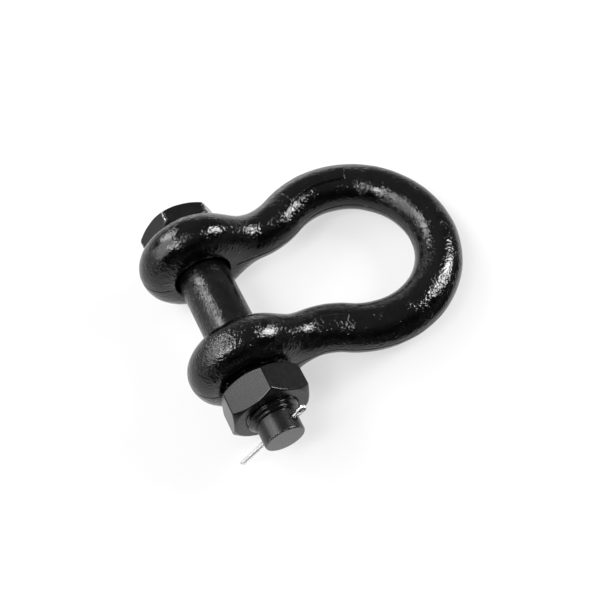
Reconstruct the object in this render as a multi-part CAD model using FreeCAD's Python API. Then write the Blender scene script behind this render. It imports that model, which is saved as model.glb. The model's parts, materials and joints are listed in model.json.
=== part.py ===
"""Bolt-type bow shackle, lying at rest: forged bow, hex-head bolt, hex nut and split cotter pin.

The bolt's axis is Y, with the head at +Y and the nut at -Y. The crown points to +X and is tipped down
until its underside rests on the same surface as the two ears. +Z is up. The origin is on the bolt's
axis, midway between the ears.
"""
import FreeCAD, Part
import math
import os

# Driving dimensions, in millimetres and degrees
BAR_R = 12.7                 # forged bar, at the crown and shoulders
CROWN_R = 45.9               # centreline radius of the crown
CROWN_X = 77.9               # from the ear holes' axis to the crown's centre
LEG_Y = 34.0                 # from the middle of the bow to each leg and ear
SHOULDER_R = 38.7            # centreline radius of the reverse bend between leg and crown
NECK_R = 12.2                # bar where it enters the ear
NECK_X = 30.5                # where the neck has grown to the full bar
EAR_R = 30.4
EAR_HALF = 12.8              # half the ear's thickness, and the radius of its rounded rim
EAR_BLEND_R = 4.5            # blend between ear and neck
HOLE_R = 15.1                # ear hole
HOLE_CHAMFER = 1.0
PAD_RISE = 0.5               # raised stamping panels stand this far out of the bar

BOLT_R = 14.0                # plain shank
BOLT_DROP_GAP = 0.1          # the bolt hangs this close to the bottom of the ear holes
HEAD_BACK_Y = 47.0
HEAD_THICK = 11.2
HEAD_CORNER_DEG = 41.5       # direction of one corner, from +X towards +Z
THREAD_R = 13.5              # crest radius, drawn plain
THREAD_START_Y = -46.5
THREAD_END_Y = -69.6
THREAD_CHAMFER = 2.2
TIP_R = 10.5                 # unthreaded tip that carries the cotter pin
TIP_END_Y = -80.6
TIP_CHAMFER = 0.6

HEX_ACROSS_FLATS = 40.0
HEX_LAND_R = 19.8            # round land that the corner chamfers leave on a face
HEX_CHAMFER_DEG = 37.0
NUT_BACK_Y = -49.1
NUT_THICK = 16.4
NUT_CORNER_DEG = 18.2
NUT_CLEARANCE = 0.06         # radial, nut to thread
NUT_SINK = 0.7               # countersink at each mouth of the nut

COTTER_Y = -74.4
COTTER_DEG = 36.8            # direction of the eye, from +X towards +Z
COTTER_R = 1.4               # the two half-round legs together make this round
COTTER_TWIST_DEG = 44.0      # the legs lie side by side in this direction, from Y towards square to it
COTTER_HOLE_R = 1.7
COTTER_HOLE_SINK = 0.4
COTTER_EYE_R = 0.6           # inside the eye's round end
COTTER_EYE_SIDE = 3.4        # straight sides of the eye
COTTER_EYE_END = 18.9        # bolt axis to the far side of the eye
COTTER_LEG_END = 30.2        # bolt axis to the tips of the legs
COTTER_SPLIT = 0.2           # gap between the legs

# Stamping panels: start and end about the bend's centre (degrees from +X), then the two directions
# between which they lie in the bar's section (degrees from the outside of the bow, through +Z)
FAR_PAD = (69.5, 115.0, 72.0, 106.5)
NEAR_PAD = (84.5, 59.0, 56.0, 92.0)

# Derived sizes
HOLE_RISE = HOLE_R - BOLT_R - BOLT_DROP_GAP
LIE_DEG = math.degrees(math.asin((EAR_R - BAR_R) / (CROWN_X + CROWN_R)))
SHOULDER_Y = LEG_Y + SHOULDER_R
SHOULDER_X = CROWN_X - math.sqrt((CROWN_R + SHOULDER_R) ** 2 - SHOULDER_Y ** 2)
CROWN_HALF_DEG = math.degrees(math.atan2(SHOULDER_Y, SHOULDER_X - CROWN_X))
SHOULDER_SWEEP_DEG = CROWN_HALF_DEG - 90.0

ORIGIN = FreeCAD.Vector(0, 0, 0)
X = FreeCAD.Vector(1, 0, 0)
Y = FreeCAD.Vector(0, 1, 0)
Z = FreeCAD.Vector(0, 0, 1)


def vec(x, y, z):
    return FreeCAD.Vector(x, y, z)


def disc(centre, normal, radius):
    """A flat round face."""
    return Part.Face(Part.Wire(Part.makeCircle(radius, centre, normal)))


def turned(outline):
    """A solid turned about the Y axis from (radius, y) points."""
    points = [vec(radius, y, 0) for radius, y in outline]
    return Part.Face(Part.makePolygon(points + points[:1])).revolve(ORIGIN, Y, 360)


# The bow, in its own level plane with the ear holes on the Y axis

def leg(side):
    """The neck, straight bar and reverse bend on one side of the bow."""
    y = side * LEG_Y
    neck = Part.makeCone(NECK_R, BAR_R, NECK_X, vec(0, y, 0), X)
    straight = Part.makeCylinder(BAR_R, SHOULDER_X - NECK_X, vec(NECK_X, y, 0), X)
    bend_centre = vec(SHOULDER_X, side * SHOULDER_Y, 0)
    bend = disc(vec(SHOULDER_X, y, 0), X, BAR_R).revolve(bend_centre, Z, side * SHOULDER_SWEEP_DEG)
    return [neck, straight, bend]


def crown():
    """The round of the bow, from shoulder to shoulder."""
    centre = vec(CROWN_X, 0, 0)
    start = disc(vec(CROWN_X + CROWN_R, 0, 0), Y, BAR_R)
    start.rotate(centre, Z, -CROWN_HALF_DEG)
    return start.revolve(centre, Z, 2 * CROWN_HALF_DEG)


def ear(side):
    """A round lug, flat on both faces, with a fully rounded rim."""
    flat_r = EAR_R - EAR_HALF
    plate = Part.makeCylinder(flat_r, 2 * EAR_HALF, vec(0, side * LEG_Y - EAR_HALF, 0), Y)
    rim = Part.makeTorus(flat_r, EAR_HALF, vec(0, side * LEG_Y, 0), Y)
    return [plate, rim]


def ear_hole(side):
    """The cutters for one ear's hole and the chamfers at its two mouths."""
    middle = side * LEG_Y
    cutters = [Part.makeCylinder(HOLE_R, 4 * EAR_HALF, vec(0, middle - 2 * EAR_HALF, 0), Y)]
    for face in (-1, 1):
        mouth = vec(0, middle + face * EAR_HALF, 0)
        cutters.append(Part.makeCone(HOLE_R + HOLE_CHAMFER, HOLE_R, HOLE_CHAMFER, mouth, Y * -face))
    return cutters


def blended(body):
    """Round the corner where each neck leaves its ear."""
    corners = [edge for edge in body.Edges
               if edge.BoundBox.XMin > BAR_R and edge.BoundBox.XMax < NECK_X - 1]
    return body.makeFillet(EAR_BLEND_R, corners)


def pad(bend_centre, section_centre, outside, limits):
    """A raised panel on a bend: a sector of a slightly larger bar, turned along part of the bend.

    outside is +1 where the outside of the bow is away from the bend's centre, and -1 where it is
    towards it. The section stands in the X-Z plane through the bend's centre.
    """
    start, end, low, high = limits
    radius = BAR_R + PAD_RISE
    arc = [section_centre + vec(outside * radius * math.cos(math.radians(a)), 0,
                                radius * math.sin(math.radians(a)))
           for a in (low, (low + high) / 2, high)]
    rim = Part.Arc(*arc).toShape()
    edges = [Part.makeLine(section_centre, arc[0]), rim, Part.makeLine(arc[2], section_centre)]
    sector = Part.Face(Part.Wire(edges))
    sector.rotate(bend_centre, Z, start)
    return sector.revolve(bend_centre, Z, end - start)


def pads():
    """One panel on the crown by the head's leg, one on the reverse bend of the nut's leg."""
    crown_centre = vec(CROWN_X, 0, 0)
    far = pad(crown_centre, crown_centre + X * CROWN_R, 1, FAR_PAD)
    bend_centre = vec(SHOULDER_X, -SHOULDER_Y, 0)
    near = pad(bend_centre, bend_centre + X * SHOULDER_R, -1, NEAR_PAD)
    return [far, near]


def bow():
    """The forged bow, tipped and lifted to where it rests around the bolt."""
    body = crown().fuse(leg(1) + leg(-1) + ear(1) + ear(-1)).removeSplitter()
    body = blended(body).fuse(pads())
    body = body.cut(ear_hole(1) + ear_hole(-1))
    body.rotate(ORIGIN, Y, LIE_DEG)
    body.translate(Z * HOLE_RISE)
    return body


# The fastener, in the row frame

def hexagon(back_y, front_y, corner_deg):
    """A hexagonal body along Y whose corners are chamfered at both faces."""
    corner_r = HEX_ACROSS_FLATS / math.sqrt(3)
    corners = [math.radians(corner_deg + 60 * k) for k in range(6)]
    points = [vec(corner_r * math.cos(a), back_y, corner_r * math.sin(a)) for a in corners]
    prism = Part.Face(Part.makePolygon(points + points[:1])).extrude(Y * (front_y - back_y))
    outer_r = corner_r + 1
    drop = math.copysign((outer_r - HEX_LAND_R) * math.tan(math.radians(HEX_CHAMFER_DEG)),
                         front_y - back_y)
    envelope = turned([(0, back_y), (HEX_LAND_R, back_y), (outer_r, back_y + drop),
                       (outer_r, front_y - drop), (HEX_LAND_R, front_y), (0, front_y)])
    return prism.common(envelope)


def bolt():
    """Hex head, plain shank, thread and a reduced tip with the cotter pin's cross hole."""
    head = hexagon(HEAD_BACK_Y, HEAD_BACK_Y + HEAD_THICK, HEAD_CORNER_DEG)
    rod = turned([
        (0, HEAD_BACK_Y + 1), (BOLT_R, HEAD_BACK_Y + 1), (BOLT_R, THREAD_START_Y),
        (THREAD_R, THREAD_START_Y - (BOLT_R - THREAD_R)), (THREAD_R, THREAD_END_Y + THREAD_CHAMFER),
        (THREAD_R - THREAD_CHAMFER, THREAD_END_Y), (TIP_R, THREAD_END_Y), (TIP_R, TIP_END_Y + TIP_CHAMFER),
        (TIP_R - TIP_CHAMFER, TIP_END_Y), (0, TIP_END_Y)])
    axis = cotter_axis()
    centre = vec(0, COTTER_Y, 0)
    hole = [Part.makeCylinder(COTTER_HOLE_R, 4 * TIP_R, centre - axis * 2 * TIP_R, axis)]
    for way in (-1, 1):
        mouth = centre + axis * way * (TIP_R + COTTER_HOLE_SINK / 2)
        hole.append(Part.makeCone(COTTER_HOLE_R + 2 * COTTER_HOLE_SINK, COTTER_HOLE_R,
                                  2 * COTTER_HOLE_SINK, mouth, axis * -way))
    return head.fuse(rod).removeSplitter().cut(hole)


def nut():
    """A hex nut, its bore drawn plain at the thread's crests."""
    front_y = NUT_BACK_Y - NUT_THICK
    bore_r = THREAD_R + NUT_CLEARANCE
    mouth_r = bore_r + NUT_SINK
    bore = turned([(0, NUT_BACK_Y), (mouth_r, NUT_BACK_Y), (bore_r, NUT_BACK_Y - NUT_SINK),
                   (bore_r, front_y + NUT_SINK), (mouth_r, front_y), (0, front_y)])
    return hexagon(NUT_BACK_Y, front_y, NUT_CORNER_DEG).cut(bore)


def cotter_axis():
    """The direction in which the cotter pin's eye stands out of the bolt."""
    return vec(math.cos(math.radians(COTTER_DEG)), 0, math.sin(math.radians(COTTER_DEG)))


def cotter_pin():
    """Half-round wire folded into a narrow eye, with two straight legs flat side to flat side."""
    wire = COTTER_R - COTTER_SPLIT / 2
    eye_x = COTTER_EYE_END - COTTER_EYE_R - wire
    root_x = eye_x - COTTER_EYE_SIDE
    length = COTTER_LEG_END + root_x + wire
    legs = Part.makeCylinder(COTTER_R, length, vec(-COTTER_LEG_END, 0, 0), X)
    split_corner = vec(-COTTER_LEG_END, -COTTER_SPLIT / 2, -2 * COTTER_R)
    split = Part.makeBox(length, COTTER_SPLIT, 4 * COTTER_R, split_corner)
    near, far = (wire_section(eye_x, side * COTTER_EYE_R, side * wire) for side in (-1, 1))
    sides = [section.extrude(X * (root_x - eye_x)) for section in (near, far)]
    bend = near.revolve(vec(eye_x, 0, 0), Z, 180)
    pin = legs.cut(split).fuse(sides + [bend])
    pin.rotate(ORIGIN, X, COTTER_TWIST_DEG)
    pin.rotate(ORIGIN, Y, -COTTER_DEG)
    pin.translate(Y * COTTER_Y)
    return pin.removeSplitter()


def wire_section(x, flat_y, rise):
    """The half-round wire cut across: its flat face at flat_y, its back further out by rise."""
    radius = abs(rise)
    low, back, high = vec(x, flat_y, -radius), vec(x, flat_y + rise, 0), vec(x, flat_y, radius)
    return Part.Face(Part.Wire([Part.Arc(low, back, high).toShape(), Part.makeLine(high, low)]))


os.makedirs("parts", exist_ok=True)
for name, make in (("bow", bow), ("bolt", bolt), ("nut", nut), ("cotter_pin", cotter_pin)):
    shape = make()
    print(name, shape.isValid(), len(shape.Solids), round(shape.Volume), shape.BoundBox)
    shape.exportStep(f"parts/{name}.step")
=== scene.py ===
"""Looks of a bolt-type bow shackle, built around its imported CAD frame.

Shapes are worked out in millimetres and turned into metres when a mesh is made. The bow is shaped in
its own level plane (ear holes on the Y axis, crown towards +X) and then tipped to where it lies.
"""
import json
import math

import bmesh
import bpy
import numpy as np
from mathutils import Matrix, Vector


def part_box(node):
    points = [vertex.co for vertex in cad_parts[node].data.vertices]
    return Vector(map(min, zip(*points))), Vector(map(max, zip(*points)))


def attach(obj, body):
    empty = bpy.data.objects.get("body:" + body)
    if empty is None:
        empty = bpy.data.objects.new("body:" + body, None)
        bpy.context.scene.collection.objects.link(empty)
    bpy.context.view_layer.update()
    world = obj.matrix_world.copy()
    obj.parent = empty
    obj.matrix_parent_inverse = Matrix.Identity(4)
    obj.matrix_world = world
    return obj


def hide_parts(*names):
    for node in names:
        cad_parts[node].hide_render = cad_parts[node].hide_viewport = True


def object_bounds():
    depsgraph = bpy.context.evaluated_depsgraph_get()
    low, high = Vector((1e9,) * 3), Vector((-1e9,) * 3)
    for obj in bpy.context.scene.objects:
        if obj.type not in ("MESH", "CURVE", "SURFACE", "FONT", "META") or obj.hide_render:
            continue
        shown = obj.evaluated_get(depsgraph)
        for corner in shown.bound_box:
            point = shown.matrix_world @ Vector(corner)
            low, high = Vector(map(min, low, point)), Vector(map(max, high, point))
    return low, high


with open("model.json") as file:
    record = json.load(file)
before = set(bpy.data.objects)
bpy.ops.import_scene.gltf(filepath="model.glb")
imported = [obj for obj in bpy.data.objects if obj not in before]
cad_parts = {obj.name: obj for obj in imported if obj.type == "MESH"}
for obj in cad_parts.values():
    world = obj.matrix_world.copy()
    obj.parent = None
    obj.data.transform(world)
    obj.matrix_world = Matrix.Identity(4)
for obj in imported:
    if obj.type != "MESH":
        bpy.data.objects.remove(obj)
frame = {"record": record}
CAD_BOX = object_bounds()
JOINTS = {joint["name"]: joint for joint in frame["record"]["behaviour"]["joints"]}
MM = 0.001

# The bow's driving sizes, in mm
BAR_R = 12.7
CROWN_R = 45.9
CROWN_X = 77.9
LEG_Y = 34.0
SHOULDER_R = 38.7
EAR_R = 30.4
EAR_HALF = 12.8
HOLE_R = 15.1
HOLE_CHAMFER = 1.0
HOLE_RISE = 1.0           # the bolt lies low in its holes: their axis is this far above the bolt's
EAR_BLEND = 13.0          # how softly an ear runs into its leg

# Derived bow sizes
SHOULDER_Y = LEG_Y + SHOULDER_R
SHOULDER_X = CROWN_X - math.sqrt((CROWN_R + SHOULDER_R) ** 2 - SHOULDER_Y ** 2)
LIE = math.asin((EAR_R - BAR_R) / (CROWN_X + CROWN_R))
EAR_FLAT_R = EAR_R - EAR_HALF


# ---------------------------------------------------------------- general mesh helpers

def add_object(name, verts_mm, faces, body, node, normals=None):
    """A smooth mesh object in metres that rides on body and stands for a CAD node."""
    mesh = bpy.data.meshes.new(name)
    mesh.from_pydata((np.asarray(verts_mm) * MM).tolist(), [], [list(map(int, f)) for f in faces])
    mesh.shade_smooth()
    if normals is not None:
        mesh.normals_split_custom_set_from_vertices(normals.tolist())
    piece = bpy.data.objects.new(name, mesh)
    bpy.context.scene.collection.objects.link(piece)
    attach(piece, body)
    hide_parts(node)
    return piece


def smooth_step(low, high, x):
    t = np.clip((x - low) / (high - low), 0, 1)
    return t * t * (3 - 2 * t)


def smooth_min(a, b, width):
    h = np.maximum(width - np.abs(a - b), 0) / width
    return np.minimum(a, b) - h * h * width / 4


def smooth_max(a, b, width):
    return -smooth_min(-a, -b, width)


def waves(x, y, z, seed, shortest, longest, count):
    """Smooth seeded unevenness, about -1 to 1, from waves of mixed direction and length (mm)."""
    rng = np.random.default_rng(seed)
    total = np.zeros_like(x)
    for _ in range(count):
        direction = rng.normal(size=3)
        direction /= np.linalg.norm(direction)
        k = 2 * math.pi / rng.uniform(shortest, longest) * direction
        total += np.sin(k[0] * x + k[1] * y + k[2] * z + rng.uniform(0, 2 * math.pi))
    return total / math.sqrt(count)


# ---------------------------------------------------------------- the bow as a distance field

HOLE_ROUND = 0.4          # rounding of a hole's edge, and of its chamfer's outer edge
CHAMFER_ROUND = 0.5
SEAM_DEPTH = 0.34         # trimmed parting line round the forging
SEAM_HALF = 0.24
SEAM_STEP = 0.05          # the half above the line stands out by this, and the other half lies back
SEAM_FADE = 3.0           # over which it starts, outside an ear's flat face
SKIN_WAVES = (
    # depth, seed, shortest and longest wave, number of waves: fine dents, then a slow unevenness
    (0.014, 11, 2.2, 5.0, 28),
    (0.045, 5, 9.0, 22.0, 14),
)
PAD_EDGE = 0.35           # width of the step round a stamping panel
DITCH_HALF = 0.3          # half the width of the groove the stamping die left beside the crown's panel
PADS = (
    # side, bend centre, bend radius, outside, along the bend (deg), round the section (deg), rise, ditch
    (1, (CROWN_X, 0.0), CROWN_R, 1, (69.5, 115.0), (72.0, 106.5), 0.6, 0.45),
    (-1, (SHOULDER_X, -SHOULDER_Y), SHOULDER_R, -1, (59.0, 84.5), (56.0, 92.0), 0.35, 0.0),
)


def centreline_distance(x, y):
    """Distance in the bow's plane from the bar's centreline, whose straight legs run on past the ears."""
    y = np.abs(y)
    far = np.full_like(x, 1e3)
    straight = np.where(x <= SHOULDER_X, np.abs(y - LEG_Y), far)
    bend_x, bend_y = x - SHOULDER_X, y - SHOULDER_Y
    along = bend_x * (CROWN_X - SHOULDER_X) - bend_y * SHOULDER_Y
    across = bend_x * SHOULDER_Y + bend_y * (CROWN_X - SHOULDER_X)
    in_bend = (bend_x >= 0) & (bend_y <= 0) & (across <= 0) & (along >= 0)
    bend = np.where(in_bend, np.abs(np.hypot(bend_x, bend_y) - SHOULDER_R), far)
    crown_x = x - CROWN_X
    in_crown = crown_x * SHOULDER_Y - y * (SHOULDER_X - CROWN_X) >= 0
    crown = np.where(in_crown, np.abs(np.hypot(crown_x, y) - CROWN_R), far)
    return np.minimum(np.minimum(straight, bend), crown)


def pad_place(x, y, z, pad):
    """Distances (mm) inwards from a panel's ends and from its two long edges, and which points are near."""
    side, centre, radius, outside, along, around = pad[:6]
    dx, dy = x - centre[0], y - centre[1]
    distance = np.hypot(dx, dy)
    turn = np.degrees(np.arctan2(dy, dx))
    section = np.degrees(np.arctan2(z, outside * (distance - radius)))
    from_ends = np.minimum(turn - along[0], along[1] - turn) * math.radians(1) * distance
    degree = math.radians(1) * BAR_R
    from_low, from_high = (section - around[0]) * degree, (around[1] - section) * degree
    near = (np.hypot(distance - radius, z) < 2 * BAR_R) & (np.sign(y) == side)
    return from_ends, from_low, from_high, near


def pad_mask(x, y, z, pad):
    """1 on a stamping panel, 0 off it, with a short step between."""
    from_ends, from_low, from_high, near = pad_place(x, y, z, pad)
    inside = np.minimum(from_ends, np.minimum(from_low, from_high))
    return smooth_step(-PAD_EDGE / 2, PAD_EDGE / 2, inside) * near


def ditch_mask(x, y, z, pad):
    """1 along the middle of the groove beside a panel, falling to 0 at its sides."""
    from_ends, _, from_high, near = pad_place(x, y, z, pad)
    across = (from_high + PAD_EDGE / 2 + DITCH_HALF) / DITCH_HALF
    return np.exp(-across ** 2) * smooth_step(0, 3, from_ends) * near


def bow_field(x, y, z, details=True):
    """Signed distance (mm) to the bow's skin: negative inside."""
    in_plane = centreline_distance(x, y)
    radial = np.hypot(x, z)
    from_leg = np.where(x > 0, np.abs(z), radial)
    from_ear = np.maximum(radial - EAR_FLAT_R, 0)
    off_plane = np.maximum(smooth_min(from_leg, from_ear, EAR_BLEND), 0)
    at_ear = 1 - smooth_step(EAR_FLAT_R, EAR_R, x)
    field = np.hypot(in_plane, off_plane) - (BAR_R + (EAR_HALF - BAR_R) * at_ear)
    if details:
        for pad in PADS:
            rise, ditch = pad[6:]
            field = field - rise * pad_mask(x, y, z, pad) + ditch * ditch_mask(x, y, z, pad)
        across = z / SEAM_HALF
        seam = SEAM_DEPTH * np.exp(-across ** 2) - SEAM_STEP * np.tanh(across)
        field = field + seam * smooth_step(EAR_FLAT_R, EAR_FLAT_R + SEAM_FADE, radial)
        for depth, *wave in SKIN_WAVES:
            field = field - depth * waves(x, y, z, *wave)
    from_face = EAR_HALF - np.abs(np.abs(y) - LEG_Y)
    chamfer = (HOLE_CHAMFER - (radial - HOLE_R) - from_face) / math.sqrt(2)
    return smooth_max(smooth_max(field, chamfer, CHAMFER_ROUND), HOLE_R - radial, HOLE_ROUND)


# ---------------------------------------------------------------- from a field to a mesh

def gradient(field, p, step=0.02):
    """The field and its slope at points p."""
    value = field(*p.T)
    slope = np.stack([field(*(p + step * axis).T) - value for axis in np.eye(3)], 1) / step
    return value, slope


def unit_normals(field, p):
    slope = gradient(field, p)[1]
    return slope / np.linalg.norm(slope, axis=1)[:, None]


def settle(field, p, rounds):
    """Move points along the field's slope until they lie on its zero surface."""
    for _ in range(rounds):
        value, slope = gradient(field, p)
        p = p - slope * (value / np.maximum((slope ** 2).sum(1), 0.2))[:, None]
    return p


def net_surface(field, axes):
    """A closed quad mesh of field's zero surface, from one vertex in each grid cell it passes through."""
    grid = field(*np.meshgrid(*axes, indexing="ij"))
    inside = grid < 0
    corners = [inside[i:inside.shape[0] - 1 + i, j:inside.shape[1] - 1 + j, k:inside.shape[2] - 1 + k]
               for i in (0, 1) for j in (0, 1) for k in (0, 1)]
    count = sum(c.astype(np.int8) for c in corners)
    mixed = (count > 0) & (count < 8)
    number = np.full(mixed.shape, -1)
    number[mixed] = np.arange(mixed.sum())
    cells = np.argwhere(mixed)
    points = np.stack([(axes[i][cells[:, i]] + axes[i][cells[:, i] + 1]) / 2 for i in range(3)], 1)
    quads = []
    for axis in range(3):
        b, c = [(1, 2), (2, 0), (0, 1)][axis]
        first = np.take(inside, np.arange(inside.shape[axis] - 1), axis)
        second = np.take(inside, np.arange(1, inside.shape[axis]), axis)
        at = np.argwhere(first != second)
        ring = []
        for db, dc in ((1, 1), (0, 1), (0, 0), (1, 0)):
            cell_at = at.copy()
            cell_at[:, b] -= db
            cell_at[:, c] -= dc
            ring.append(number[tuple(cell_at.T)])
        quad = np.stack(ring, 1)
        leaving = first[tuple(at.T)]
        quad[~leaving] = quad[~leaving][:, ::-1]
        quads.append(quad)
    return points, np.concatenate(quads)


def relax(points, quads, field, rounds):
    """Even out the mesh along the surface, keeping it on the field."""
    edges = np.concatenate([quads[:, [i, (i + 1) % 4]] for i in range(4)])
    for _ in range(rounds):
        total = np.zeros_like(points)
        np.add.at(total, edges[:, 0], points[edges[:, 1]])
        np.add.at(total, edges[:, 1], points[edges[:, 0]])
        number = np.bincount(edges.ravel(), minlength=len(points))[:, None]
        points = settle(field, 0.5 * points + 0.5 * total / number, 1)
    return points


def refine(points, quads, wanted, cuts):
    """Cut the mesh finer where wanted(points) is true. Returns points and faces."""
    bm = bmesh.new()
    verts = [bm.verts.new(p) for p in points]
    for q in quads:
        bm.faces.new([verts[i] for i in q])
    bm.verts.ensure_lookup_table()
    chosen = wanted(points)
    bm.verts.index_update()
    edges = [e for e in bm.edges if chosen[e.verts[0].index] and chosen[e.verts[1].index]]
    bmesh.ops.subdivide_edges(bm, edges=edges, cuts=cuts, use_grid_fill=True)
    bm.verts.index_update()
    new_points = np.array([v.co for v in bm.verts])
    faces = [[v.index for v in f.verts] for f in bm.faces]
    bm.free()
    return new_points, faces


# ---------------------------------------------------------------- the bow's mesh

BOW_CELL = 0.96
GRID_MARGIN = 2.0         # how far the bow's grid goes past it
SEAM_REACH = 0.9          # the mesh is finer up to this far from the parting line
GROOVE_REACH = 0.45       # and finer still up to this far
PAD_REACH = 0.8           # finer up to this far from a panel's edge, along each axis
DITCH_SHALLOWEST = 0.004  # a groove shallower than this needs no finer mesh


def near_detail(points):
    """Where the bow has features finer than its grid: the parting seam and the panels' edges."""
    x, y, z = points.T
    fine = (np.abs(z) < SEAM_REACH) & (np.hypot(x, z) > EAR_FLAT_R)
    ways = (-PAD_REACH, PAD_REACH)
    around = [(dx, dy, dz) for dx in ways for dy in ways for dz in ways]
    for pad in PADS:
        mean = sum(pad_mask(x + dx, y + dy, z + dz, pad) for dx, dy, dz in around) / len(around)
        fine |= (mean > 0.02) & (mean < 0.98)
    return fine


def near_groove(points):
    """The narrowest of them: the middle of the parting line, and the groove beside a panel."""
    x, y, z = points.T
    in_ditch = sum(ditch_mask(x, y, z, pad) * pad[-1] for pad in PADS) > DITCH_SHALLOWEST
    in_seam = (np.abs(z) < GROOVE_REACH) & (np.hypot(x, z) > EAR_FLAT_R)
    return in_seam | in_ditch


def tipped(points, rise):
    """From the bow's own plane to the row frame, where it lies at rest."""
    c, s = math.cos(LIE), math.sin(LIE)
    x, y, z = points.T
    return np.stack([x * c + z * s, y, -x * s + z * c + rise], 1)


def plain_bow_field(x, y, z):
    return bow_field(x, y, z, details=False)


def make_bow():
    low = np.array([-EAR_R, -CROWN_R - BAR_R, -EAR_R]) - GRID_MARGIN
    high = np.array([CROWN_X + CROWN_R + BAR_R, CROWN_R + BAR_R, EAR_R]) + GRID_MARGIN
    cell = BOW_CELL
    points, quads = net_surface(plain_bow_field, [np.arange(a, b + cell, cell) for a, b in zip(low, high)])
    points = settle(plain_bow_field, points, 4)
    points = relax(points, quads, plain_bow_field, 4)
    points, faces = refine(points, quads, near_detail, 2)
    points, faces = refine(points, faces, near_groove, 1)
    points = settle(bow_field, points, 4)
    normals = unit_normals(bow_field, points)
    return add_object("forged_bow", tipped(points, HOLE_RISE), faces, "bow", "bow",
                      tipped(normals, 0))


# ---------------------------------------------------------------- bolt and nut

TIP_END_Y, HEAD_FRONT_Y = (corner.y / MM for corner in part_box("bolt"))
NUT_FRONT_Y, NUT_BACK_Y = (corner.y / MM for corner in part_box("nut"))

BOLT_R = 14.0
HEAD_BACK_Y = 47.0
HEAD_CORNER = 41.5        # direction of one corner, degrees from +X towards +Z
NUT_CORNER = 18.2
ACROSS_FLATS = 40.0
LAND_R = 19.8             # the round land that the corner chamfers leave on a face
HEX_CHAMFER = math.radians(37)
THREAD_START_Y = -46.5
THREAD_END_Y = -69.6
THREAD_CHAMFER = 2.2
THREAD_RUNOUT = (0.6, 3.2)   # the groove reaches its full depth between these, from the shank
TIP_R = 10.5
TIP_CHAMFER = 0.6
NUT_SINK = 0.7            # countersink at each end of the nut's bore

# Rounding where faces meet
FLAT_ROUND = 0.8          # between two flats, and under the head
FACE_ROUND = 0.5          # round an end face of the head or nut
TURNED_ROUND = 0.3        # on the shank's and the tip's turned edges
CUT_ROUND = 0.25          # on the thread's end cone, the cross hole and the nut's bore
STEP_ROUND = 0.2          # at the last thread's end face and the countersink's inner edge
SHANK_BLEND = 0.15        # where the thread meets the shank

# M27 x 3 thread, right-handed
PITCH = 3.0
CREST_R = 13.5
ROOT_R = 11.66
CREST_HALF = 0.19
FLANK = math.tan(math.radians(60))
ROOT_ROUND = 0.35
NUT_CREST_R = 11.95
NUT_CLEAR = 0.1

COTTER_Y = -74.4
COTTER_HOLE_R = 1.7
COTTER_SINK = 0.4         # countersink at each end of the hole
COTTER_AXIS = np.array(JOINTS["cotter_pull"]["axis"])

# Grids
HEX_REACH = 24.3          # half the width, past the corners
BOLT_CELL = 0.42          # spacing across the bolt and the nut
NUT_CELL = 0.4
THREAD_CELL = 0.25        # spacing along the threads, the head and the plain shank
HEAD_CELL = 0.35
SHANK_CELL = 1.3
PAST_TIP = 0.9            # chosen to keep the grid off the edges of the cotter pin's hole
COARSER = 1


def hex_field(x, y, z, low_y, high_y, corner):
    """Signed distance to a hexagonal body along Y whose corners are chamfered at both faces."""
    radial = np.hypot(x, z)
    turn = np.arctan2(z, x) - math.radians(corner)
    phase = np.abs(np.mod(turn, math.pi / 3) - math.pi / 6)
    flat_a = radial * np.cos(phase) - ACROSS_FLATS / 2
    flat_b = radial * np.cos(math.pi / 3 - phase) - ACROSS_FLATS / 2
    side = smooth_max(flat_a, flat_b, FLAT_ROUND)
    past_face = np.maximum(y - high_y, low_y - y)
    chamfer = (radial - LAND_R) * math.sin(HEX_CHAMFER) + past_face * math.cos(HEX_CHAMFER)
    return smooth_max(smooth_max(side, chamfer, FACE_ROUND), past_face, FACE_ROUND)


def crest_distance(x, y, z):
    """Distance along the axis to the middle of the nearest thread crest, 0 to half a pitch."""
    turns = y / PITCH + np.arctan2(z, x) / (2 * math.pi)
    return np.abs(turns - np.round(turns)) * PITCH


def shank_field(y, radial):
    """The plain shank, from inside the head to a chamfer where the thread starts."""
    chamfer = (THREAD_START_Y - y + radial - BOLT_R) / math.sqrt(2)
    return smooth_max(np.maximum(radial - BOLT_R, y - HEAD_BACK_Y - 3), chamfer, TURNED_ROUND)


def thread_field(x, y, z, radial):
    """The threaded length, whose groove runs out towards the shank."""
    groove = CREST_R - FLANK * np.maximum(crest_distance(x, y, z) - CREST_HALF, 0)
    groove = smooth_max(np.minimum(groove, CREST_R), ROOT_R, ROOT_ROUND)
    runout = smooth_step(*(THREAD_START_Y - reach for reach in THREAD_RUNOUT), y)
    groove = CREST_R + (groove - CREST_R) * runout
    end_cone = (radial - CREST_R + THREAD_END_Y + THREAD_CHAMFER - y) / math.sqrt(2)
    thread = smooth_max((radial - groove) / 2, end_cone, CUT_ROUND)
    return smooth_max(thread, np.maximum(THREAD_END_Y - y, y), STEP_ROUND)


def tip_field(y, radial):
    """The plain turned tip."""
    cone = (radial - TIP_R + TIP_END_Y + TIP_CHAMFER - y) / math.sqrt(2)
    side = smooth_max(radial - TIP_R, cone, TURNED_ROUND)
    return smooth_max(side, np.maximum(TIP_END_Y - y, y), TURNED_ROUND)


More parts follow.
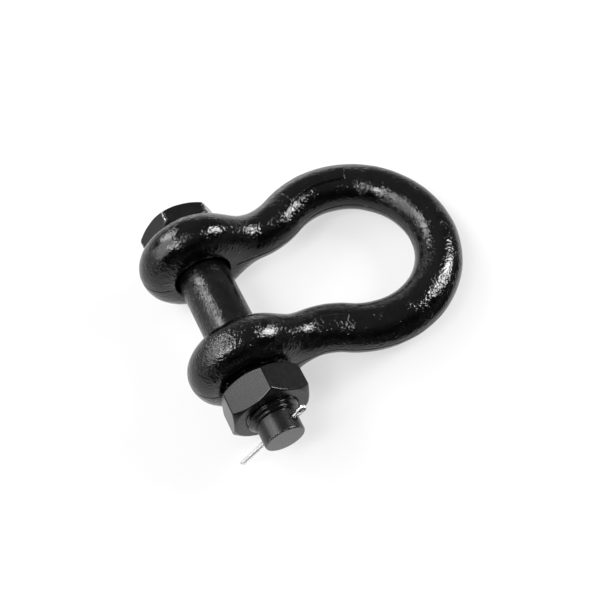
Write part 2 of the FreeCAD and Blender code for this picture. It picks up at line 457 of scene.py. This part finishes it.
def bolt_field(x, y, z):
    """Signed distance to the bolt, with the cotter pin's hole and its countersinks."""
    radial = np.hypot(x, z)
    head = hex_field(x, y, z, HEAD_BACK_Y, HEAD_FRONT_Y, HEAD_CORNER)
    far_end = np.minimum(thread_field(x, y, z, radial), tip_field(y, radial))
    body = smooth_min(smooth_min(head, shank_field(y, radial), FLAT_ROUND), far_end, SHANK_BLEND)
    along = x * COTTER_AXIS[0] + z * COTTER_AXIS[2]
    across = x * COTTER_AXIS[2] - z * COTTER_AXIS[0]
    from_pin = np.hypot(across, y - COTTER_Y)
    sink = np.maximum(np.abs(along) - (TIP_R - 1.2 * COTTER_SINK), 0)
    return smooth_max(body, COTTER_HOLE_R + sink - from_pin, CUT_ROUND)


def nut_field(x, y, z):
    """Signed distance to the nut, bored with the thread and countersunk at both ends."""
    radial = np.hypot(x, z)
    body = hex_field(x, y, z, NUT_FRONT_Y, NUT_BACK_Y, NUT_CORNER)
    groove = CREST_R + NUT_CLEAR - FLANK * np.maximum(crest_distance(x, y, z) - CREST_HALF, 0)
    bore = smooth_max(np.minimum(groove, CREST_R + NUT_CLEAR), NUT_CREST_R, CUT_ROUND)
    depth = np.minimum(y - NUT_FRONT_Y, NUT_BACK_Y - y)
    mouth = CREST_R + NUT_CLEAR + NUT_SINK - depth
    hollow = smooth_max((bore - radial) / 2, (mouth - radial) / math.sqrt(2), STEP_ROUND)
    return smooth_max(body, hollow, CUT_ROUND)


def spaced(*stretches):
    """Grid positions: (start, end, step) stretches joined end to end."""
    parts = [np.linspace(a, b, max(1, round(abs(b - a) / step)), endpoint=False) for a, b, step in stretches]
    return np.concatenate(parts + [[stretches[-1][1]]])


def make_fastener(name, field, cross, lengthways, body, node):
    """A mesh of a turned or hexagonal part along Y, on a grid that is finer where it has detail."""
    points, quads = net_surface(field, [cross, lengthways, cross])
    points = settle(field, points, 5)
    points = relax(points, quads, field, 3)
    points = settle(field, points, 3)
    return add_object(name, points, quads, body, node, unit_normals(field, points))


def make_bolt():
    cross = spaced((-HEX_REACH, HEX_REACH, BOLT_CELL * COARSER))
    thread_side, head_side = THREAD_START_Y + 1, HEAD_BACK_Y - 1.5
    lengthways = spaced((TIP_END_Y - PAST_TIP, thread_side, THREAD_CELL * COARSER),
                        (thread_side, head_side, SHANK_CELL),
                        (head_side, HEAD_FRONT_Y + 1, HEAD_CELL * COARSER))
    return make_fastener("bolt_forging", bolt_field, cross, lengthways, "bolt", "bolt")


def make_nut():
    cross = spaced((-HEX_REACH, HEX_REACH, NUT_CELL * COARSER))
    lengthways = spaced((NUT_FRONT_Y - 1, NUT_BACK_Y + 1, THREAD_CELL * COARSER))
    return make_fastener("hex_nut", nut_field, cross, lengthways, "nut", "nut")


# ---------------------------------------------------------------- cotter pin

COTTER_WIRE = 1.3          # thickness of the half-round wire, and half its width
COTTER_GAP = 0.1           # from the pin's axis to a leg's flat side
COTTER_EYE_GAP = 0.6       # the same in the eye, and the radius of its end
COTTER_FLARE = (12.6, 14.8)   # where the legs open into the eye, from the bolt's axis
COTTER_EYE_X = 17.0        # bolt axis to the middle of the eye's round end
COTTER_LEG_END = 30.2
COTTER_SHORT_LEG = 29.5
COTTER_TWIST = math.radians(44)   # the legs' split, turned about the pin's axis from Y
COTTER_CORNER = 0.2        # rounding along the wire's two sharp edges
BACK_ARC = (12, 168)       # the wire's rounded back runs between these angles, degrees


def cotter_path():
    """One side of the folded wire's flat face as (along, across) points, and the way out from it."""
    legs = np.linspace(-COTTER_LEG_END, COTTER_FLARE[0], 30, endpoint=False)
    flare = np.linspace(COTTER_FLARE[0], COTTER_EYE_X, 16, endpoint=False)
    turn = np.linspace(math.pi / 2, 0, 10)
    along = np.concatenate([legs, flare, COTTER_EYE_X + COTTER_EYE_GAP * np.cos(turn)])
    opened = COTTER_GAP + (COTTER_EYE_GAP - COTTER_GAP) * smooth_step(*COTTER_FLARE, along)
    across = np.concatenate([opened[:len(legs) + len(flare)], COTTER_EYE_GAP * np.sin(turn)])
    half = np.stack([along, across], 1)
    points = np.concatenate([half, half[-2::-1] * (1, -1)])
    points[-1, 0] = -COTTER_SHORT_LEG
    step = np.gradient(points, axis=0)
    outwards = np.stack([-step[:, 1], step[:, 0]], 1)
    return points, outwards / np.linalg.norm(outwards, axis=1)[:, None]


def half_round():
    """The wire's section as (sideways, outwards): a rounded back, a flat face and eased edges."""
    back = [(COTTER_WIRE * math.cos(a), COTTER_WIRE * math.sin(a))
            for a in np.linspace(*np.radians(BACK_ARC), 17)]
    edge, eased = COTTER_WIRE, COTTER_WIRE - COTTER_CORNER
    return [(eased, 0), (edge, COTTER_CORNER / 2)] + back + [(-edge, COTTER_CORNER / 2), (-eased, 0), (0, 0)]


def make_cotter():
    """Half-round wire folded into a narrow eye, its two legs flat side to flat side."""
    square = np.array([-COTTER_AXIS[2], 0, COTTER_AXIS[0]])
    lengthways = np.array([0, 1.0, 0])
    spread = lengthways * math.cos(COTTER_TWIST) + square * math.sin(COTTER_TWIST)
    side = square * math.cos(COTTER_TWIST) - lengthways * math.sin(COTTER_TWIST)
    section = half_round()
    points, outwards = cotter_path()
    verts = []
    for (along, across), (out_along, out_across) in zip(points, outwards):
        centre = COTTER_AXIS * along + spread * across + lengthways * COTTER_Y
        out = COTTER_AXIS * out_along + spread * out_across
        verts += [centre + side * w + out * t for w, t in section]
    n, last = len(section), len(points) - 1
    faces = [(r * n + i, r * n + (i + 1) % n, (r + 1) * n + (i + 1) % n, (r + 1) * n + i)
             for r in range(last) for i in range(n)]
    faces += [tuple(range(n))[::-1], tuple(last * n + i for i in range(n))]
    piece = add_object("split_cotter", verts, faces, "cotter_pin", "cotter_pin")
    bm = bmesh.new()
    bm.from_mesh(piece.data)
    bmesh.ops.recalc_face_normals(bm, faces=bm.faces)
    bm.to_mesh(piece.data)
    bm.free()
    return piece


# ---------------------------------------------------------------- materials

# Lengths in mm. A pair is the darkest and lightest tone, or the glossiest and dullest roughness.
CREASES = ((2.6, 0.65), (1.2, 0.34))   # wavelength and depth of the creases in the paint
PAINT_TONE = (0.0003, 0.001)
PAINT_ROUGHNESS = (0.08, 0.17)
BOLT_TONE = (0.001, 0.003)
BOLT_ROUGHNESS = (0.14, 0.24)
TIP_DULLER = 0.12                      # added to the roughness of the turned tip
FORGED_SHANK = (45.0, 43.0)            # the creases fade in between these distances from the jaw's middle
BARE_STEEL = 0.14                      # the machined end face
RUBBED_STEEL = 0.55                    # chipped edges
RUBBED_CORNER = (22.3, 22.7)           # distances from the axis over which a head corner is rubbed
NUT_TONE = (0.002, 0.005)
NUT_ROUGHNESS = (0.22, 0.3)
ZINC_TONE = (0.78, 0.9)
ZINC_ROUGHNESS = (0.22, 0.34)


def new_material(name):
    """A material with its node tree, and its shader."""
    material = bpy.data.materials.new(name)
    material.use_nodes = True
    return material, material.node_tree, material.node_tree.nodes["Principled BSDF"]


def add_node(tree, kind, settings=None, **links):
    """A node with socket values, or links where the value is another node's output."""
    node = tree.nodes.new(kind)
    for key, value in (settings or {}).items():
        setattr(node, key, value)
    for key, value in links.items():
        socket = node.inputs[int(key[1:])] if key[0] == "i" and key[1:].isdigit() else node.inputs[key]
        if isinstance(value, bpy.types.NodeSocket):
            tree.links.new(value, socket)
        else:
            socket.default_value = value
    return node


def noise(tree, place, wavelength_mm, detail=2.0, rough=0.5):
    node = add_node(tree, "ShaderNodeTexNoise", None, Vector=place, Scale=1000 / wavelength_mm,
                    Detail=detail, Roughness=rough)
    return node.outputs["Fac"]


def ramp(tree, value, low, high, out_low, out_high):
    limits = {"From Min": low, "From Max": high, "To Min": out_low, "To Max": out_high}
    node = add_node(tree, "ShaderNodeMapRange", {"interpolation_type": "SMOOTHSTEP"}, Value=value, **limits)
    return node.outputs["Result"]


def maths(tree, operation, a, b=0.0):
    return add_node(tree, "ShaderNodeMath", {"operation": operation}, i0=a, i1=b).outputs[0]


def mix_colour(tree, factor, a, b):
    node = add_node(tree, "ShaderNodeMix", {"data_type": "RGBA"})
    for index, value in ((0, factor), (6, a), (7, b)):
        if isinstance(value, bpy.types.NodeSocket):
            tree.links.new(value, node.inputs[index])
        else:
            node.inputs[index].default_value = value
    return node.outputs[2]


def bump(tree, height, depth_mm, normal=None):
    node = add_node(tree, "ShaderNodeBump", None, Height=height, Distance=depth_mm * MM, Strength=1.0)
    if normal is not None:
        tree.links.new(normal, node.inputs["Normal"])
    return node.outputs["Normal"]


def grey(value):
    return (value, value, value, 1)


def crumple(tree, place, amount):
    """The normal of creases like those of thick paint over forging scale, deeper where amount is high."""
    normal = None
    for wavelength, depth in CREASES:
        crease = maths(tree, "ABSOLUTE", maths(tree, "SUBTRACT", noise(tree, place, wavelength, 1.0), 0.5))
        normal = bump(tree, maths(tree, "MULTIPLY", crease, amount), depth, normal)
    return normal


def patches(tree, place, wavelength_mm, detail=5.0):
    """0 to 1, in soft-edged patches."""
    return ramp(tree, noise(tree, place, wavelength_mm, detail), 0.35, 0.7, 0.0, 1.0)


def set_tone(tree, shader, factor, tones):
    """Grey base colour between two tones."""
    colour = mix_colour(tree, factor, *(grey(tone) for tone in tones))
    tree.links.new(colour, shader.inputs["Base Color"])


def set_roughness(tree, shader, pattern, limits, extra=None):
    """Roughness between two limits, following pattern, with extra added."""
    roughness = ramp(tree, pattern, 0.3, 0.7, *limits)
    if extra is not None:
        roughness = maths(tree, "ADD", roughness, extra)
    tree.links.new(roughness, shader.inputs["Roughness"])


def drawn(tree, place, wavelength_mm, stretch, detail):
    """Noise stretched along the bolt's axis, like drawing or grinding marks."""
    streak = add_node(tree, "ShaderNodeMapping", None, Vector=place)
    streak.inputs["Scale"].default_value = (1, stretch, 1)
    return noise(tree, streak.outputs[0], wavelength_mm, detail, 0.6)


def paint_material():
    """Glossy black dipped paint over a rough forging: a crumpled skin with smoother and duller patches."""
    material, tree, shader = new_material("black_dipped_paint")
    place = add_node(tree, "ShaderNodeTexCoord").outputs["Object"]
    amount = ramp(tree, noise(tree, place, 9.0, 2.0), 0.4, 0.62, 0.45, 1.0)
    tree.links.new(crumple(tree, place, amount), shader.inputs["Normal"])
    set_roughness(tree, shader, noise(tree, place, 9.0, 4.0), PAINT_ROUGHNESS)
    set_tone(tree, shader, patches(tree, place, 5.0), PAINT_TONE)
    shader.inputs["Specular IOR Level"].default_value = 0.4
    return material


def radius_of(tree, place):
    """Distance from the bolt's axis, in metres."""
    flat = add_node(tree, "ShaderNodeVectorMath", {"operation": "MULTIPLY"}, i0=place, i1=(1, 0, 1))
    length = add_node(tree, "ShaderNodeVectorMath", {"operation": "LENGTH"}, i0=flat.outputs[0])
    return length.outputs["Value"]


def bare_places(tree, place, along):
    """Where the bolt shows steel (0 to 1), and where that steel is rubbed bright."""
    radius = radius_of(tree, place)
    on_end = ramp(tree, along, (TIP_END_Y + 0.25) * MM, (TIP_END_Y + 0.1) * MM, 0.0, 1.0)
    inside = ramp(tree, radius, (TIP_R - 0.45) * MM, (TIP_R - 0.3) * MM, 1.0, 0.0)
    machined = maths(tree, "MULTIPLY", on_end, inside)
    chips = ramp(tree, noise(tree, place, 0.9, 3.0, 0.7), 0.52, 0.6, 0.0, 1.0)
    near_end = ramp(tree, along, (TIP_END_Y + 0.9) * MM, (TIP_END_Y + 0.3) * MM, 0.0, 1.0)
    near_side = ramp(tree, radius, (TIP_R - 0.6) * MM, (TIP_R - 0.4) * MM, 0.0, 1.0)
    near_rim = maths(tree, "MULTIPLY", near_end, near_side)
    corner = ramp(tree, radius, *(reach * MM for reach in RUBBED_CORNER), 0.0, 1.0)
    rubbed = maths(tree, "MULTIPLY", maths(tree, "MAXIMUM", near_rim, corner), chips)
    return maths(tree, "MAXIMUM", maths(tree, "MULTIPLY", machined, 0.8), rubbed), rubbed


def bolt_material():
    """Satin black on a forged and turned bolt, drawn streaks, rubbed edges and a machined end."""
    material, tree, shader = new_material("satin_black_bolt")
    place = add_node(tree, "ShaderNodeTexCoord").outputs["Object"]
    along = add_node(tree, "ShaderNodeSeparateXYZ", None, Vector=place).outputs["Y"]
    lines = drawn(tree, place, 0.9, 0.2, 3.0)
    grain = noise(tree, place, 0.8, 2.0, 0.6)
    amount = ramp(tree, noise(tree, place, 7.0, 2.0), 0.4, 0.62, 0.3, 1.0)
    from_middle = maths(tree, "ABSOLUTE", along)
    on_shank = ramp(tree, from_middle, *(reach * MM for reach in FORGED_SHANK), 0.0, 1.0)
    creases = crumple(tree, place, maths(tree, "MULTIPLY", amount, on_shank))
    marks = maths(tree, "ADD", maths(tree, "MULTIPLY", lines, 0.6), grain)
    tree.links.new(bump(tree, marks, 0.03, creases), shader.inputs["Normal"])

    bare, rubbed = bare_places(tree, place, along)
    black = mix_colour(tree, patches(tree, place, 4.0), *(grey(tone) for tone in BOLT_TONE))
    steel = mix_colour(tree, rubbed, grey(BARE_STEEL), grey(RUBBED_STEEL))
    tree.links.new(mix_colour(tree, bare, black, steel), shader.inputs["Base Color"])
    tree.links.new(bare, shader.inputs["Metallic"])
    on_tip = ramp(tree, along, THREAD_END_Y * MM, (THREAD_END_Y - 1) * MM, 0.0, TIP_DULLER)
    set_roughness(tree, shader, grain, BOLT_ROUGHNESS, on_tip)
    shader.inputs["Specular IOR Level"].default_value = 0.4
    return material


def nut_material():
    """Black-oxide steel with fine grain along the flats."""
    material, tree, shader = new_material("black_oxide_nut")
    place = add_node(tree, "ShaderNodeTexCoord").outputs["Object"]
    lines = drawn(tree, place, 0.5, 0.08, 2.0)
    tree.links.new(bump(tree, lines, 0.02), shader.inputs["Normal"])
    set_roughness(tree, shader, lines, NUT_ROUGHNESS)
    set_tone(tree, shader, patches(tree, place, 5.0), NUT_TONE)
    shader.inputs["Specular IOR Level"].default_value = 0.3
    return material


def zinc_material():
    """Bright zinc plate with faint drawing marks."""
    material, tree, shader = new_material("bright_zinc")
    place = add_node(tree, "ShaderNodeTexCoord").outputs["Object"]
    grain = noise(tree, place, 0.5, 3.0)
    shader.inputs["Metallic"].default_value = 1.0
    tree.links.new(bump(tree, grain, 0.006), shader.inputs["Normal"])
    set_roughness(tree, shader, grain, ZINC_ROUGHNESS)
    set_tone(tree, shader, patches(tree, place, 1.6, 3.0), ZINC_TONE)
    return material


# ---------------------------------------------------------------- studio

STUDIO_R = 6.0                 # metres
FLOOR_GLOW = 0.6
BACKDROP_GLOW = 0.75
SHEET_CENTRE = (-150, 400)     # the lit part of the floor, as the object's gloss shows it, in mm
SHEET_R = 540
SHADE_SHEET_RISE = 0.3            # how far the dark sheet of painted shade lies above the floor, in mm
BACK_STRIP_X = (-30, 200)      # mm
BACK_STRIP_Y = 200
BACK_STRIP_TOP = 42
BACK_STRIP_GLOW = 2.4
# Kinds of ray that pass a stage piece
ALL_BUT_CAMERA = ("glossy", "diffuse", "transmission", "shadow")
ALL_BUT_GLOSSY = ("camera", "diffuse", "transmission", "shadow")
LIGHTS = (
    # name, azimuth and elevation (deg), width and height (m), radiance
    ("left_front_light", -121, 63, 0.38, 0.32, 16),
    ("left_light", -84, 48, 0.83, 0.9, 4.2),
    ("left_back_light", -32, 43, 0.4, 0.42, 12),
    ("right_light", 96, 30, 0.36, 0.42, 30),
)


def softbox(name, azimuth, elevation, width, height, radiance):
    """A rectangular soft light 1 m from the object. Azimuth 0 is +Y, 90 is +X."""
    light = bpy.data.lights.new(name, "AREA")
    light.shape = "RECTANGLE"
    light.size = width
    light.size_y = height
    light.energy = math.pi * width * height * radiance
    holder = bpy.data.objects.new(name, light)
    bpy.context.scene.collection.objects.link(holder)
    a, e = math.radians(azimuth), math.radians(elevation)
    away = Vector((math.sin(a) * math.cos(e), math.cos(a) * math.cos(e), math.sin(e)))
    middle = (CAD_BOX[0] + CAD_BOX[1]) / 2
    holder.location = middle + away
    holder.rotation_euler = away.to_track_quat("Z", "Y").to_euler()
    holder.visible_camera = False


def stage_piece(name, build, colour, glow, unseen_by=()):
    """A plain stage mesh, which some kinds of ray can pass."""
    mesh = bpy.data.meshes.new(name)
    bm = bmesh.new()
    build(bm)
    bm.to_mesh(mesh)
    bm.free()
    piece = bpy.data.objects.new(name, mesh)
    piece.location = (0, 0, CAD_BOX[0].z)
    bpy.context.scene.collection.objects.link(piece)
    for ray in unseen_by:
        setattr(piece, "visible_" + ray, False)
    material, tree, shader = new_material(name)
    shader.inputs["Base Color"].default_value = grey(colour)
    shader.inputs["Roughness"].default_value = 0.9
    shader.inputs["Specular IOR Level"].default_value = 0.0
    shader.inputs["Emission Color"].default_value = grey(1.0)
    shader.inputs["Emission Strength"].default_value = glow
    mesh.materials.append(material)


def build_floor(bm):
    bmesh.ops.create_circle(bm, cap_ends=True, segments=64, radius=STUDIO_R)


def build_backdrop(bm):
    bmesh.ops.create_uvsphere(bm, u_segments=64, v_segments=32, radius=STUDIO_R * 0.99)


def build_reflected_shade_sheet(bm):
    """A flat dark sheet just over the floor, with a round opening that the object lies in: painted shade of
    unlit floor, which only reflections see.
    """
    rise = Matrix.Translation((0, 0, SHADE_SHEET_RISE * MM))
    opening = Matrix.Translation(Vector((*SHEET_CENTRE, 0)) * MM)
    for radius, place in ((STUDIO_R * 0.98, rise), (SHEET_R * MM, rise @ opening)):
        bmesh.ops.create_circle(bm, segments=64, radius=radius, matrix=place)
    bmesh.ops.bridge_loops(bm, edges=bm.edges)


def build_back_strip(bm):
    """A low upright strip behind the object, which lights the far edges of its gloss."""
    left, right = BACK_STRIP_X
    outline = ((left, 0), (right, 0), (right, BACK_STRIP_TOP), (left, BACK_STRIP_TOP))
    bm.faces.new([bm.verts.new(Vector((x, BACK_STRIP_Y, z)) * MM) for x, z in outline])


def make_world():
    """A dark room with a pale low band, higher behind the object, and a faint glow overhead and behind."""
    world = bpy.data.worlds.new("studio")
    bpy.context.scene.world = world
    world.use_nodes = True
    tree = world.node_tree
    place = add_node(tree, "ShaderNodeTexCoord").outputs["Generated"]
    x, y, z = add_node(tree, "ShaderNodeSeparateXYZ", None, Vector=place).outputs
    behind = ramp(tree, maths(tree, "SUBTRACT", y, x), -0.1, 0.5, 0.0, math.sin(math.radians(16)))
    overhead = ramp(tree, z, 0.5, 0.95, 0.03, 0.3)
    far_side = ramp(tree, maths(tree, "ADD", maths(tree, "MULTIPLY", x, 0.35), y), 0.3, 0.95, 0.0, 0.25)
    room = maths(tree, "ADD", overhead, far_side)
    strength = ramp(tree, maths(tree, "SUBTRACT", z, behind), 0.0, math.sin(math.radians(5)), 0.9, room)
    tree.links.new(strength, tree.nodes["Background"].inputs["Strength"])
    tree.nodes["Background"].inputs["Color"].default_value = grey(1.0)


def make_studio():
    """A pale floor and backdrop, soft lights, and the darker surroundings that the gloss reflects, partly a
    sheet of painted shade that only reflections see.
    """
    stage_piece("pale_floor", build_floor, 0.2, FLOOR_GLOW)
    stage_piece("pale_backdrop", build_backdrop, 0.0, BACKDROP_GLOW, ALL_BUT_CAMERA)
    # painted shade: a dark sheet that only reflections see, in place of unlit floor round the lit patch
    stage_piece("reflected_shade_sheet", build_reflected_shade_sheet, 0.03, 0.0, ALL_BUT_GLOSSY)
    stage_piece("back_strip", build_back_strip, 0.0, BACK_STRIP_GLOW, ALL_BUT_GLOSSY)
    make_world()
    for light in LIGHTS:
        softbox(*light)
    bpy.context.scene.view_settings.view_transform = "Standard"


# ---------------------------------------------------------------- camera

CAMERA_PLACE = (-4.23, -235.18, 402.08)      # mm
CAMERA_FORWARD = (0.0937, 0.4760, -0.8745)
CAMERA_UP = (0.4456, 0.7654, 0.4644)
LENS = 53.57                                 # focal length, mm
SENSOR = 36


def make_camera():
    """The photograph's view: from high above the nut's side, turned a little round its own axis."""
    data = bpy.data.cameras.new("camera")
    data.lens = LENS
    data.sensor_width = SENSOR
    camera = bpy.data.objects.new("camera", data)
    bpy.context.scene.collection.objects.link(camera)
    forward = Vector(CAMERA_FORWARD).normalized()
    right = forward.cross(Vector(CAMERA_UP)).normalized()
    up = right.cross(forward)
    axes = Matrix((right, up, -forward)).transposed().to_4x4()
    camera.matrix_world = Matrix.Translation(Vector(CAMERA_PLACE) * MM) @ axes
    data.clip_start = 0.01
    bpy.context.scene.camera = camera


# ---------------------------------------------------------------- the scene

make_camera()
bow = make_bow()
bolt = make_bolt()
nut = make_nut()
cotter = make_cotter()
for piece, material in ((bow, paint_material()), (bolt, bolt_material()), (nut, nut_material()),
                        (cotter, zinc_material())):
    piece.data.materials.append(material)
make_studio()
